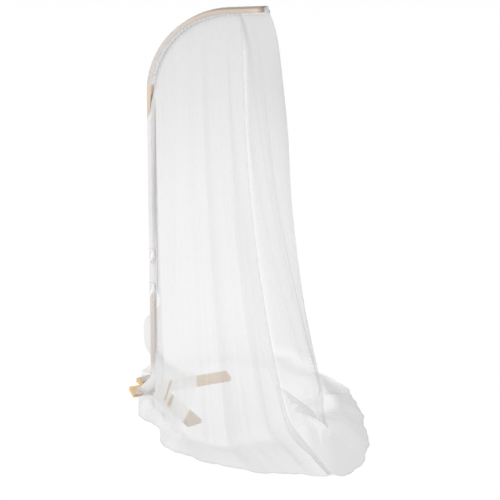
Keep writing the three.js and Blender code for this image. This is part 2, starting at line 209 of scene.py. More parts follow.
def cloth_map(across, along):
    """The UV map of a grid, in metres of cloth, from its columns' and its rows' places."""
    return np.stack(np.meshgrid(across, along, indexing="ij"), -1)


def give_net(piece, cover, white):
    """Writes how much of the view the threads cover, and their tone with its painted light and
    shade, point by point.
    """
    for name, value in (("cover", cover), ("white", white)):
        attribute = piece.data.attributes.new(name, "FLOAT", "POINT")
        attribute.data.foreach_set("value", np.asarray(value, np.float32).ravel())


# %% [markdown]
# ## Helpers for materials
# A finish is a tree of nodes, and the same few turn up in each: a Map Range that moves a value
# between limits, a Mix that multiplies two colours, a Color Ramp and a Math node. Each gets a
# short function here, so that a finish below reads as a list of what it is made of.

# %% Helpers for materials
def fill(node, sockets):
    """Gives a node's sockets, by name or number, a plain value or another node's output."""
    for socket, value in sockets.items():
        if isinstance(value, bpy.types.NodeSocket):
            node.id_data.links.new(value, node.inputs[socket])
        else:
            node.inputs[socket].default_value = value


def node_maker(owner):
    """Returns a function that adds a node, chooses its settings and then fills its sockets."""
    def add(kind, sockets=(), **settings):
        node = owner.node_tree.nodes.new(kind)
        for key, value in settings.items():
            setattr(node, key, value)
        fill(node, dict(sockets))
        return node

    return add


def new_material(name):
    """A new material with its Principled shader and a node maker."""
    material = bpy.data.materials.new(name)
    material.use_nodes = True
    return material, material.node_tree.nodes["Principled BSDF"], node_maker(material)


def colour_ramp(add, fraction, stops):
    """A colour from a ramp between the stops, each a place and a colour."""
    ramp = add("ShaderNodeValToRGB", {"Fac": fraction})
    elements = ramp.color_ramp.elements
    while len(elements) < len(stops):
        elements.new(0.5)
    for element, (place, colour) in zip(elements, stops):
        element.position = place
        element.color = (*colour, 1.0)
    return ramp.outputs["Color"]


def noise(add, place, **sizes):
    """Noise at a place, with the sizes that its sockets take."""
    return add("ShaderNodeTexNoise", {"Vector": place, **sizes}).outputs["Fac"]


def scaled(add, place, scale):
    """A place stretched by its own scale in each direction."""
    return add("ShaderNodeMapping", {"Vector": place, "Scale": scale}).outputs["Vector"]


def ranged(add, value, to, of=(0.0, 1.0)):
    """A value moved from one pair of limits to another, and held between them."""
    return add("ShaderNodeMapRange", {
        "Value": value, "From Min": of[0], "From Max": of[1], "To Min": to[0], "To Max": to[1],
    }).outputs["Result"]


def calculated(add, operation, first, second=0.0, **settings):
    """A Math node's result from one or two values."""
    node = add("ShaderNodeMath", {0: first, 1: second}, operation=operation, **settings)
    return node.outputs["Value"]


def multiplied(add, first, second, share=1.0):
    """Two colours multiplied, in full or by a share."""
    mix = add(
        "ShaderNodeMix", {"Factor": share, "A": first, "B": second},
        data_type="RGBA", blend_type="MULTIPLY")
    return mix.outputs["Result"]


def dimmed(colour, share):
    """A share of a colour."""
    return tuple(share * value for value in colour)


# %% [markdown]
# ## Wood
# The strip is pale laminate: thin plies show as fine lines on its two edges, and the outer ply has
# a quiet, long grain. The arm's end is darkened with painted shade. The bars are solid wood of a
# warmer tone. Both get grain from noise that is stretched along the piece, on coordinates that
# follow it, so that the grain bends with the strip.

# %% Wood
strip_pale = (0.71, 0.59, 0.48)
strip_dark = (0.62, 0.49, 0.38)
bar_pale = (0.84, 0.62, 0.36)
bar_dark = (0.72, 0.5, 0.26)
glue_line = (0.62, 0.56, 0.5)
clean_ply = (1.0, 1.0, 1.0)
ply_thickness = 0.0015
# Where the painted shade on the arm's end begins and where it is full, back from the tip.
end_shade_start = 0.024
end_shade_full = 0.006
streak_stretch = (1.6, 26.0, 40.0)
pore_stretch = (40.0, 900.0, 900.0)


def with_plies(add, place, colour):
    """A lamination's colour: each ply has its own tone, with a darker line of glue between."""
    depth = add("ShaderNodeSeparateXYZ", {"Vector": place}).outputs["Z"]
    in_plies = calculated(add, "MULTIPLY", depth, 1 / ply_thickness)
    ply = calculated(add, "FLOOR", in_plies)
    own_tone = add("ShaderNodeTexWhiteNoise", {"W": ply}, noise_dimensions="1D")
    glue = colour_ramp(
        add, calculated(add, "FRACT", in_plies),
        [(0.0, glue_line), (0.12, clean_ply), (0.9, clean_ply)])
    plies = multiplied(add, glue, ranged(add, own_tone.outputs["Value"], (0.9, 1.0)))
    return multiplied(add, colour, plies, 0.8)


def with_painted_end_shade(add, grain, colour):
    """A strip's colour, with painted shade over the last stretch of the arm."""
    length = add("ShaderNodeSeparateXYZ", {"Vector": grain}).outputs["X"]
    stretch = (pole_length - end_shade_start, pole_length - end_shade_full)
    return multiplied(add, colour, ranged(add, length, (1.0, 0.45), stretch))


def wood_material(name, pale, dark, turn=0.0, laminated=False):
    """Long grain with darker streaks, fine pores and, on a lamination, its plies."""
    material, shader, add = new_material(name)
    if laminated:
        source = add("ShaderNodeAttribute", attribute_name="grain").outputs["Vector"]
    else:
        source = add("ShaderNodeTexCoord").outputs["Object"]
    turned = add("ShaderNodeMapping", {"Vector": source, "Rotation": (0.0, 0.0, turn)})
    place = turned.outputs["Vector"]
    streaks = noise(
        add, scaled(add, place, streak_stretch),
        Scale=2.2, Detail=6.0, Roughness=0.6, Distortion=0.6)
    pores = noise(add, scaled(add, place, pore_stretch), Scale=1.0, Detail=2.0)
    grain = colour_ramp(add, streaks, [(0.32, dark), (0.68, pale)])
    colour = multiplied(add, grain, ranged(add, pores, (0.9, 1.0), (0.35, 0.5)))
    if laminated:
        colour = with_painted_end_shade(add, source, with_plies(add, place, colour))
    bump = add("ShaderNodeBump", {"Height": pores, "Strength": 0.12, "Distance": 0.0004})
    fill(shader, {
        "Base Color": colour,
        "Roughness": ranged(add, streaks, (0.5, 0.62)),
        "Specular IOR Level": 0.35,
        "Normal": bump.outputs["Normal"],
    })
    return material


pole_wood = wood_material("bent_laminate", strip_pale, strip_dark, laminated=True)
lower_bar_wood = wood_material("lower_bar_wood", bar_pale, bar_dark, turn=-bar_angle)
upper_bar_wood = wood_material("upper_bar_wood", bar_pale, bar_dark, turn=bar_angle)
print("woods:", ", ".join(wood.name for wood in (pole_wood, lower_bar_wood, upper_bar_wood)))

# %% [markdown]
# ## Net, ribbon and metal
# The net is white thread with open space between, so at this distance it is a veil: each layer
# covers a share of what lies behind it, more where it is gathered. That share is painted on the
# points of each sheet, and the shader takes it as its opacity. A tone is painted there too: whiter
# in seams, hems, ribbons and thread, and on the net painted light and painted shade, lighter where
# light falls and darker where it lies in shade. The threads themselves are finer than a pixel, so
# only a faint unevenness is added.

# %% Net, ribbon and metal
# The light end of the tone: the white of gathered thread, and on the net its painted light.
packed_and_lit_thread = (0.86, 0.86, 0.865)
slub_stretch = (90.0, 9.0, 1.0)


def net_material(name, colour, uneven=0.025):
    """A white veil: opacity from its cover, a tone with painted light and shade, a soft sheen."""
    material, shader, add = new_material(name)
    cover = add("ShaderNodeAttribute", attribute_name="cover").outputs["Fac"]
    white = add("ShaderNodeAttribute", attribute_name="white").outputs["Fac"]
    cloth = add("ShaderNodeUVMap", uv_map="cloth").outputs["UV"]
    slub = noise(add, scaled(add, cloth, slub_stretch), Scale=1.0, Detail=4.0)
    slubbed = ranged(add, slub, (1.0 - uneven, 1.0 + uneven), (0.3, 0.7))
    single = colour_ramp(add, slub, [(0.35, dimmed(colour, 0.985)), (0.65, colour)])
    packed_and_lit = colour_ramp(
        add, slub, [(0.35, dimmed(packed_and_lit_thread, 0.97)), (0.65, packed_and_lit_thread)])
    # Painted light and shade: the white attribute moves the tone from the single layer's grey to
    # the light one.
    tone = add("ShaderNodeMix", {"Factor": white, "A": single, "B": packed_and_lit}, data_type="RGBA")
    bump = add("ShaderNodeBump", {"Height": slub, "Strength": 0.1, "Distance": 0.0006})
    fill(shader, {
        "Base Color": tone.outputs["Result"],
        "Alpha": calculated(add, "MULTIPLY", cover, slubbed, use_clamp=True),
        "Roughness": 0.85,
        "Specular IOR Level": 0.15,
        "Sheen Weight": 0.15,
        "Normal": bump.outputs["Normal"],
    })
    return material


def metal_material(name, colour, rough):
    """Plain turned metal with a slight cloudiness in its gloss."""
    material, shader, add = new_material(name)
    cloud = noise(add, add("ShaderNodeTexCoord").outputs["Object"], Scale=420.0, Detail=3.0)
    fill(shader, {
        "Base Color": colour_ramp(add, cloud, [(0.3, dimmed(colour, 0.9)), (0.7, colour)]),
        "Roughness": ranged(add, cloud, (rough - 0.08, rough + 0.1)),
        "Metallic": 1.0,
    })
    return material


net = net_material("net", (0.60, 0.60, 0.605))
ribbon_cloth = net_material("ribbon", (0.84, 0.84, 0.84), uneven=0.02)
thread = net_material("thread", (0.86, 0.86, 0.86), uneven=0.02)
zinc = metal_material("zinc_plated_steel", (0.62, 0.63, 0.65), 0.38)
brass = metal_material("turned_brass", (0.74, 0.55, 0.26), 0.36)

finish_of_solid = {
    "foot_bar_lower": lower_bar_wood,
    "foot_bar_upper": upper_bar_wood,
    "foot_bolt_near": zinc,
    "foot_bolt_far": zinc,
    "threaded_insert_near": brass,
    "threaded_insert_far": brass,
}
for node, material in finish_of_solid.items():
    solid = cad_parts[node]
    solid.data.materials.clear()
    solid.data.materials.append(material)
print("solids with a finish:", len(finish_of_solid))

# %% [markdown]
# ## The pole
# A strip like this is glued up from thin plies in a curved press. Here a block the size of its
# straight run is stretched round the bend with spin and drawn out along the arm with extrude, and a
# bevel eases its long edges. Spin is the operator that turns a face through a true circle.

# %% The pole
def faces_where(piece, test):
    """Selects the faces that pass the test, and enters edit mode."""
    start_clean()
    piece.select_set(True)
    bpy.context.view_layer.objects.active = piece
    for part in (piece.data.vertices, piece.data.edges, piece.data.polygons):
        part.foreach_set("select", [False] * len(part))
    for face in piece.data.polygons:
        face.select = test(face)
    bpy.ops.object.mode_set(mode="EDIT")
    bpy.ops.mesh.select_mode(type="FACE")


def make_pole():
    """A block for the straight run, spun round the bend and extruded along the arm."""
    start_clean()
    bpy.ops.mesh.primitive_cube_add(size=1.0, location=(0.0, 0.0, pole_foot + straight_length / 2))
    pole = bpy.context.object
    pole.scale = (pole_thickness, pole_width, straight_length)
    bpy.ops.object.transform_apply(location=True, rotation=True, scale=True)
    faces_where(pole, lambda face: face.normal.z > 0.9)
    bpy.ops.mesh.spin(
        steps=60, angle=bend_angle, center=(bend_radius, 0.0, bend_start), axis=(0.0, -1.0, 0.0))
    bpy.ops.object.mode_set(mode="OBJECT")
    tip = bow_point(pole_length)
    bend_end = bow_point(straight_length + bend_length)
    arm = tip - bend_end
    nearest = min(
        pole.data.polygons,
        key=lambda face: (face.center - Vector(bend_end)).length,
    ).index
    faces_where(pole, lambda face: face.index == nearest)
    bpy.ops.mesh.extrude_region_move(TRANSFORM_OT_translate={"value": tuple(arm)})
    bpy.ops.mesh.select_all(action="SELECT")
    bpy.ops.mesh.remove_doubles(threshold=0.00001)
    bpy.ops.mesh.normals_make_consistent(inside=False)
    bpy.ops.object.mode_set(mode="OBJECT")
    ease = pole.modifiers.new("ease", "BEVEL")
    ease.width = pole_ease
    ease.segments = 4
    ease.limit_method = "ANGLE"
    ease.angle_limit = math.radians(40)
    apply_modifiers(pole)
    return pole


def give_grain(piece):
    """Keeps each point's length along the strip and its place in the strip's section."""
    count = len(piece.data.vertices)
    points = np.empty(count * 3)
    piece.data.vertices.foreach_get("co", points)
    points = points.reshape(-1, 3)
    from_centre = points - np.array([bend_radius, 0.0, bend_start])
    turned = np.clip(np.arctan2(from_centre[:, 2], -from_centre[:, 0]), 0, bend_angle)
    middle = bow_point(straight_length + bend_radius * turned)
    outward = np.stack([-np.cos(turned), np.zeros(count), np.sin(turned)], -1)
    along = np.stack([np.sin(turned), np.zeros(count), np.cos(turned)], -1)
    length = straight_length + bend_radius * turned + ((points - middle) * along).sum(1)
    grain = np.stack([length, points[:, 1], ((points - middle) * outward).sum(1)], -1)
    attribute = piece.data.attributes.new("grain", "FLOAT_VECTOR", "POINT")
    attribute.data.foreach_set("vector", grain.astype(np.float32).ravel())


pole = settle(make_pole(), "pole_bent", pole_wood)
give_grain(pole)
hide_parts("pole")
print("faces of the pole:", len(pole.data.polygons))

# %% [markdown]
# ## The curtain's strands
# A panel of net is drawn as strands, each from its place on the seam down to where it meets the
# floor and on to the hem. A few strands are listed, from the outline in the photograph, and
# smooth curves fill in those between. This keeps the whole sheet continuous, and one small table
# steers its form. Simulation was the other choice, but it doesn't settle into a given outline.

# %% The curtain's strands
# How far the landings and the trains' ends go, forward and to a side.
landing_reach = 0.715
landing_spread = 0.300
train_reach = 0.920
train_spread = 0.443
# How the net goes out from the seam: a flare just below it, and then a curve.
side_flare = 0.07
far_flare = 0.2
flare_fall = 0.05
spread_power = 1.6
near_front_power = 2.1
seam_inset = 0.0150
side_gap = 0.0006
# How it lies on the floor and over the bars.
floor_lift = 0.0014
cloth_rise = 0.004
bar_margin = 0.045
bar_slope = 0.050

# Each strand: its place on the seam, its landing forward and to the side, its train's end forward
# and to the side. All are shares, the first of the seam and the others of the reaches above.
near_strands = np.array([
    [0, 0.043, 0.11, -0.02, 0.17],
    [0.06, 0.05, 0.28, -0.016, 0.334],
    [0.14, 0.09, 0.47, 0.041, 0.5],
    [0.23, 0.16, 0.62, 0.13, 0.6],
    [0.33, 0.26, 0.85, 0.214, 0.867],
    [0.45, 0.43, 1, 0.38, 0.965],
    [0.58, 0.59, 0.93, 0.6, 0.986],
    [0.71, 0.725, 0.64, 0.793, 0.9],
    [0.84, 0.825, 0.2, 0.92, 0.826],
])
far_strands = np.array([
    [0, 0.043, 0.13, -0.098, 0.208],
    [0.06, 0.05, 0.36, -0.07, 0.48],
    [0.14, 0.08, 0.58, 0.04, 0.72],
    [0.24, 0.18, 0.8, 0.17, 0.92],
    [0.37, 0.32, 0.97, 0.32, 1.02],
    [0.5, 0.48, 1, 0.47, 1.03],
    [0.63, 0.65, 0.92, 0.59, 0.88],
    [0.75, 0.82, 0.74, 0.73, 0.74],
    [0.84, 0.9, 0.6, 0.845, 0.47],
    [0.91, 0.945, 0.48, 0.93, 0.12],
    [0.96, 0.97, 0.3, 0.995, -0.32],
    [1, 0.98, 0.1, 0.9, -0.83],
])


def along_table(table, share):
    """Values of a table at shares of its length, on a smooth curve through its rows."""
    ahead = np.vstack([2 * table[0] - table[1], table, 2 * table[-1] - table[-2]])
    place = np.clip(np.asarray(share, float), 0, 1) * (len(table) - 1)
    row = np.minimum(place.astype(int), len(table) - 2)
    t = (place - row)[:, None]
    p0, p1, p2, p3 = (ahead[row + k] for k in range(4))
    m1 = (p2 - p0) / 2
    m2 = (p3 - p1) / 2
    return (
        p1 + m1 * t + (3 * (p2 - p1) - 2 * m1 - m2) * t ** 2 + (2 * (p1 - p2) + m1 + m2) * t ** 3
    )


def smoothstep(value, low, high):
    """From 0 to 1 between two limits, with soft ends."""
    t = np.clip((value - low) / (high - low), 0, 1)
    return t * t * (3 - 2 * t)


def between(value, rise, fall):
    """From 0 up to 1 over one pair of limits, and back to 0 over another."""
    return smoothstep(value, *rise) * (1 - smoothstep(value, *fall))


def hump(value, middle, half_width, power=2):
    """A soft hump that is 1 at its middle."""
    return np.exp(-(((value - middle) / half_width) ** power))


def towards(value, target, share):
    """A value moved a share of the way to its target."""
    return value + (target - value) * share


def unit(vectors):
    """Vectors made one metre long."""
    return vectors / np.maximum(np.linalg.norm(vectors, axis=-1, keepdims=True), 1e-6)


def lengths_along(path):
    """Each point's length from the start of its path."""
    return np.concatenate([[0], np.cumsum(np.linalg.norm(np.diff(path, axis=0), axis=-1))])


def ground_height(x, y):
    """Height of the lying cloth: on the floor, or over a foot bar."""
    height = np.full(np.shape(x), floor_lift)
    for turn in (bar_angle, -bar_angle):
        along = x * math.cos(turn) + y * math.sin(turn)
        across = np.abs(y * math.cos(turn) - x * math.sin(turn))
        past = np.maximum.reduce([
            -along - bar_rear, along - bar_front, across - bar_width / 2, np.zeros(np.shape(x))])
        share = 1 - smoothstep(past, bar_margin, bar_margin + bar_slope)
        height = np.maximum(height, floor_lift + share * (bar_thickness + cloth_rise - floor_lift))
    return height


def spread_at(side, fall, across):
    """How far a strand has gone out from the seam to its landing, at a share of its drop."""
    front_flare = far_flare if side > 0 else side_flare
    front_power = spread_power if side > 0 else near_front_power
    most = side_flare + (front_flare - side_flare) * across ** 4
    power = spread_power + (front_power - spread_power) * across ** 4
    return most * (1 - np.exp(-fall / flare_fall)) + (1 - most) * fall ** power


print("strands:", len(near_strands), "near and", len(far_strands), "far")

# %% [markdown]
# ## Folds
# Real folds are never even: big soft ones carry smaller ones, close together under the seam and
# wider below, and they wander a little on the way down. So several sizes of wave are added up, each
# with its own seeded phases and its own share of the height. A part of each wave goes sideways,
# which rounds the crests the way hanging net does.

# %% Folds
fold_depth = 0.017
crest_rounding = 0.07
least_room = 0.0003
# On the floor: the folds run on as ridges, and the far panel's front is tucked in.
ridge_height = 0.014
near_front_rise = 0.003
layer_gap = 0.0016
far_tuck = 0.060
# How the far panel's front lobe is rounded out, and how far in its train pools by the landing.
lobe_bulge = (0.042, -0.016)
pool_reach = 0.16
pool_end_share = 0.42
# The far panel's front is fuller just under the arm and again a quarter of the way down.
bunch_under_arm = 0.014
front_bulge = 0.011
front_bulge_place = (0.27, 0.13)
# Each size of wave: times as many, its depth, and its share of that at the top and at the floor.
fold_sizes = (
    (2.3, 0.40, 0.10, 1.0),
    (4.1, 0.18, 0.30, 0.8),
    (7.3, 0.07, 0.60, 0.5),
    (12.1, 0.03, 1.00, 0.3),
)


def fold_waves(across, fall, count, seed):
    """Outward and sideways shares of the folds, for every column and row."""
    rng = np.random.default_rng(seed)
    a = across[:, None]
    f = fall[None, :]
    out = np.sin(2 * math.pi * count * a) * np.ones_like(f)
    slip = np.zeros_like(out)
    for times, depth, at_top, at_floor in fold_sizes:
        phase, drift, beat, patch_phase = rng.uniform(0, 2 * math.pi, 4)
        wander = 0.5 * np.sin(7.0 * f + drift) + 0.35 * np.sin(9.0 * a + 5.0 * f + beat)
        patch = 0.7 + 0.3 * np.sin(2.3 * count * a + patch_phase + 2.0 * f)
        size = depth * patch * (at_top + (at_floor - at_top) * np.sqrt(f))
        angle = 2 * math.pi * count * times * a + phase + wander
        out += size * np.sin(angle)
        slip += crest_rounding * size * np.sin(2 * angle + 0.4)
    return out, slip


def pool_path(lie):
    """How far in the cloth lies before it turns back and out again, along the train."""
    return np.sin(math.pi * np.clip(lie / pool_end_share, 0, 1)) ** 1.3


def sideways_and_out(table, across, side):
    """Level directions along a panel's line of landings and square to it, outward."""
    before = along_table(table, np.maximum(across - 0.03, 0))
    after = along_table(table, np.minimum(across + 0.03, 1))
    x = (after[:, 1] - before[:, 1]) * landing_reach
    y = (after[:, 2] - before[:, 2]) * landing_spread * side
    long = np.hypot(x, y)
    return np.stack([x, y], -1) / long[:, None], np.stack([-y, x], -1) * side / long[:, None]


def far_front(point, across, fall, lie, outward):
    """Shapes the far panel's front: fuller under the arm, tucked in and pooled on the floor."""
    bulge = bunch_under_arm * np.exp(-fall / 0.05) + front_bulge * hump(fall, *front_bulge_place)
    point[..., 0] += smoothstep(across, 0.7, 1)[:, None] * bulge[None, :]
    point[..., 1] -= far_tuck * across[:, None] ** 8 * np.sin(math.pi * lie)[None, :]
    most_in = between(across, (0.42, 0.62), (0.86, 0.97))
    pooled = pool_reach * most_in[:, None] * pool_path(lie)[None, :]
    point[..., :2] -= outward[:, None] * pooled[..., None]


def panel_points(side, table, across, fall, lie, waves):
    """Points of a panel's main part, from its strands and folds, on one side of the arm."""
    strand = along_table(table, across)
    zero = np.zeros(len(across))
    top = bow_point(sleeve_start + (pole_length - sleeve_start) * strand[:, 0], seam_inset)
    top[:, 1] = side * side_gap
    landing = np.stack(
        [strand[:, 1] * landing_reach, side * strand[:, 2] * landing_spread, zero], -1)
    end = np.stack([strand[:, 3] * train_reach, side * strand[:, 4] * train_spread, zero], -1)
    if side > 0:
        end[:, :2] += between(across, (0.90, 0.955), (0.987, 1.0))[:, None] * lobe_bulge
    spread = spread_at(side, fall[None, :], across[:, None])[..., None]
    point = top[:, None] * (1 - spread) + landing[:, None] * spread
    point = point * (1 - lie[None, :, None]) + end[:, None] * lie[None, :, None]
    beside, outward = sideways_and_out(table, across, side)
    if side > 0:
        far_front(point, across, fall, lie, outward)
        calm = smoothstep(across, 0.1, 0.3) * (1 - 0.8 * smoothstep(across, 0.72, 0.86))
        fullness = 0.1 + 0.6 * calm
    else:
        fullness = 0.1 + 0.9 * smoothstep(across, 0.42, 0.75)
    out, slip = waves
    room = least_room + np.maximum(np.abs(point[..., 1]) - side_gap, 0) / 3
    depth = np.minimum(fold_depth * np.sqrt(fall)[None, :], room) * (1 - lie)
    depth = depth * fullness[:, None]
    point[..., :2] += outward[:, None] * (depth * out)[..., None]
    point[..., :2] += beside[:, None] * (depth * slip)[..., None]
    ridge = ridge_height * np.maximum(1 + out, 0) / 2 * np.sin(math.pi * lie)[None, :]
    ridge = ridge * (1 - 0.85 * smoothstep(across, 0.9, 1.0))[:, None]
    lying = ground_height(point[..., 0], point[..., 1]) + ridge
    if side < 0:
        lying = lying + near_front_rise * across[:, None] ** 2
    else:
        lying = lying + layer_gap * smoothstep(lie, 0.12, 0.3)[None, :]
    point[..., 2] = np.maximum(top[:, None, 2] * (1 - fall)[None, :], lying)
    return point


# %% [markdown]
# ## The held margins
# The back edge of either panel is a margin that the ties hold against the pole's side. Above, it
# hangs free just below the sleeve. The near margin stays beside the pole nearly down to the foot,
# and the far one swings out behind it as a flap below the ties. Near the floor both flare out and
# crinkle over the bars' short ends. A margin follows three guide columns, with a smooth curve
# through them, and so does the far panel's front corner, which lies in under the near panel.

# %% The held margins
held_gap = 0.0026
held_inset = 0.001
held_top = 1.150
held_bottom = 0.460
near_held_bottom = 0.11
loose_height = 0.055
loose_side = 0.007
# The near margin's fold and the far margin's flap: how far back, how far sideways, and how high.
near_fold = (0.009, 0.014)
far_flap = (0.077, 0.012)
flap_height = 0.238
flap_reach = 0.115
# The flare over the bars' short ends: how far back on either side, and from what height down.
near_flare = 0.075
near_flare_lost_share = 0.52
far_back_flare = 0.070
flare_top = 0.11
flare_bottom = 0.02
crinkle_depth = 0.004
crinkle_sideways = 0.6
crinkle_across = 33.0
crinkle_down = 160.0
# A dip in the near train's back edge: its share of the flare, and its place along the train.
dip_share = 0.2
dip_place = (0.76, 0.09)
far_hem_in = 0.030
far_hem_turn = 0.102
# The front corner: how it hangs, and where its guides end on the floor.
corner_back = 0.03
corner_aside = 0.012
corner_ridge = 0.003
corner_x = (0.735, 0.600, 0.440)
corner_y = (-0.265, -0.120, 0.220)


def open_margin(side, share, base, lie):
    """Where a margin's column goes below the ties: the near fold or the far flap."""
    point = base.copy()
    flare = smoothstep(-base[:, 2], -flare_top, -flare_bottom)
    down = np.linspace(0, 1, len(base))
    wave = np.sin(crinkle_across * share + crinkle_down * down)
    crinkle = crinkle_depth * flare * share * wave
    point[:, 0] += crinkle
    point[:, 1] += crinkle_sideways * crinkle
    if side < 0:
        point[:, 0] += near_fold[0] * math.sin(math.pi * share) - share * held_gap
        kept = 1 - near_flare_lost_share * lie - dip_share * hump(lie, *dip_place)
        point[:, 0] -= share * near_flare * flare * kept
        point[:, 1] -= near_fold[1] * math.sin(math.pi * share)
        return point
    out = far_flap[0] * hump(base[:, 2], flap_height, flap_reach, 4) + far_back_flare * flare
    hanging = np.maximum(base[:, 1], pole_width / 2 + held_gap) - far_flap[1] * share ** 3
    point[:, 0] += share * (far_hem_in * lie - out * (1 - lie))
    point[:, 1] = hanging * (1 - lie) + (base[:, 1] - far_hem_turn * share) * lie
    return point


def margin_guides(side, base, lie):
    """The three guide columns of a margin, from the one next to the panel to the edge."""
    z = base[:, 2]
    above = smoothstep(z, held_top, held_top + loose_height)[:, None]
    falling = smoothstep(-z, -sleeve_drop, -held_top - loose_height)
    bottom = held_bottom if side > 0 else near_held_bottom
    below = smoothstep(-z, -bottom, loose_height - bottom)[:, None]
    first_x = pole_thickness / 2 + held_gap
    last_x = held_inset - pole_thickness / 2
    guides = []
    for column in (1, 2, 3):
        held_x = towards(first_x, last_x, (column - 1) / 2)
        held_y = side * (pole_width / 2 + held_gap)
        held = np.stack([np.full_like(z, held_x), np.full_like(z, held_y), z], -1)
        loose = base.copy()
        loose[:, 0] += (first_x - loose[:, 0]) * falling * column / 3
        loose[:, 1] += side * loose_side * column * falling
        point = towards(held, loose, above)
        point = towards(point, open_margin(side, column / 3, base, lie), below)
        point[:, 2] = np.maximum(point[:, 2], ground_height(point[:, 0], point[:, 1]))
        guides.append(point)
    return guides


def corner_guides(base, fall, lie):
    """Guide columns of the far panel's front corner, which lies in under the near panel."""
    guides = []
    for share, end_x, end_y in zip((1 / 3, 2 / 3, 1.0), corner_x, corner_y):
        point = base.copy()
        point[:, 0] -= corner_back * share * np.sqrt(fall)
        point[:, 1] += corner_aside * share * fall
        end = np.array([end_x, end_y])
        landed = point[fall >= 1][0, :2]
        path = towards(landed[None], end[None], lie[:, None])
        point[:, :2] = np.where(lie[:, None] > 0, path, point[:, :2])
        lying = ground_height(point[:, 0], point[:, 1]) + corner_ridge * np.sin(math.pi * lie)
        point[:, 2] = np.where(lie > 0, lying, point[:, 2])
        guides.append(point)
    return guides


def through_guides(guides, places):
    """Columns at places along the margin, on smooth curves through the guides."""
    stack = np.stack(guides)
    columns = along_table(stack.reshape(len(guides), -1), np.asarray(places) / (len(guides) - 1))
    return columns.reshape(len(places), *stack.shape[1:])


# %% [markdown]
# ## How dense the net looks
# Net hides more of what is behind it where it is gathered: just under the seam, against the pole,
# and where a train lies in many small folds. Cover can be taken from the spacing of the modelled
# columns, but their crowding isn't the cloth's own. A few smooth functions of the place on the
# panel are calmer, and each says what it stands for. In them a is the share of the way across,
# from the pole to the front, f the share of the drop and t the share of the way along the train.

# %% How dense the near panel looks
slit_top = 0.881
slit_step = 0.02


def shares_of(across, fall, lie):
    """The three shares a, f and t, set out as columns by rows."""
    return across[:, None], fall[None, :], lie[None, :]


def gathered_under_seam(f):
    """From 1 at the seam, fading down the drop."""
    return np.exp(-f / 0.2)


def parted(a, f):
    """Two slanted slits at the foot, where folds part and the bars show between them."""
    down = f - slit_top
    lower = down - slit_step
    first = hump(a, 0.464 - 1.08 * down, 0.010) * between(down, (-0.01, 0.004), (0.06, 0.078))
    second = hump(a, 0.497 - 1.15 * lower, 0.006 + 0.3 * np.abs(lower))
    second = second * between(down, (0.016, 0.03), (0.066, 0.08))
    return np.clip(first + second, 0, 1)


def doubled_foot(a, f, start):
    """Where the near panel lies double near its foot, up to a slanted edge."""
    edge = 0.62 - 0.07 * smoothstep(f, 0.87, 1.0)
    return smoothstep(f, *start) * (1 - smoothstep(a - edge, -0.012, 0.008))


def near_cover(across, fall, lie):
    """Cover of the near panel: gathers, the double fold beside the pole, the foot, the train."""
    a, f, t = shares_of(across, fall, lie)
    cover = 0.38 + 0.03 * a + 0.47 * gathered_under_seam(f)
    beside_pole = hump(a, 0, 0.06) * smoothstep(f, 0.02, 0.12)
    cover = towards(cover, 0.88, beside_pole * (1 - 0.6 * smoothstep(f, 0.66, 0.75)))
    thin_below_ties = smoothstep(f, 0.62, 0.7) * (1 - smoothstep(a, 0.2, 0.27))
    cover = towards(cover, 0.2, thin_below_ties)
    cover = cover + 0.16 * smoothstep(f, 0.66, 0.9) * between(a, (0.5, 0.6), (0.88, 0.97))
    cover = cover + 0.14 * smoothstep(f, 0.88, 0.94) * (1 - smoothstep(a, 0.3, 0.4))
    cover = np.maximum(cover, 0.92 * doubled_foot(a, f, (0.81, 0.85)))
    cover = cover * (1 - 0.66 * parted(a, f))
    train = 0.46 + 0.22 * between(a, (0.1, 0.3), (0.9, 0.99))
    train = train + 0.26 * (1 - smoothstep(a, 0.06, 0.16)) * (1 - smoothstep(t, 0.75, 0.95))
    return towards(cover, train, smoothstep(t, 0, 0.35))


# %% How dense the far panel looks
# Each line on the floor goes from one point to another. The far train is thin under the near
# one, and to the right of each line it is denser, most of all in the lobe at the front.
near_train_edge = ((0.421, 0.312), (0.581, -0.037))
light_edge = ((0.584, 0.127), (0.707, -0.185))
dusky_edge = ((0.644, 0.151), (0.767, -0.161))
lobe_edge = ((0.600, 0.290), (0.800, -0.020))
# Where the near panel's front edge hangs before the far one: shares of the drop and across.
front_edge_falls = (0.085, 0.2, 0.34, 0.48, 0.62, 0.77, 0.92)
front_edge_places = (0.704, 0.683, 0.644, 0.607, 0.583, 0.567, 0.549)


def right_of(line, place, soft=0.012):
    """From 0 to 1 over a line on the floor, from its left to its right as seen from the front."""
    (x0, y0), (x1, y1) = line
    off = (place[..., 0] - x0) * (y0 - y1) + (place[..., 1] - y0) * (x1 - x0)
    return smoothstep(off / math.hypot(x1 - x0, y1 - y0), -soft, soft)


def far_train_cover(a, t, place):
    """Cover of the far train: its layers on the floor, thinner where two of them lie together."""
    front = 1 - smoothstep(place[..., 1], 0.06, 0.2)
    train = 0.08 + 0.2 * right_of(near_train_edge, place)
    train = train + 0.29 * front * right_of(light_edge, place, 0.02)
    train = train + 0.17 * front * right_of(dusky_edge, place, 0.03)
    train = np.maximum(train, 0.79 * right_of(lobe_edge, place, 0.03))
    hidden_end = smoothstep(t, 0.55, 1.0) * (1 - smoothstep(a, 0.6, 0.75))
    train = train * (1 - 0.85 * hidden_end)
    turns_back = 0.40 - 0.1 * smoothstep(a, 0.76, 0.95)
    two_deep = between(a, (0.42, 0.6), (0.93, 1.0))
    train = train * (1 - 0.55 * two_deep * (1 - smoothstep(t - turns_back, -0.03, 0.04)))
    train = train * (1 - 0.4 * smoothstep(a, 0.84, 0.9) * (1 - smoothstep(t, 0.14, 0.22)))
    return train + 0.45 * hump(a, 0, 0.05)


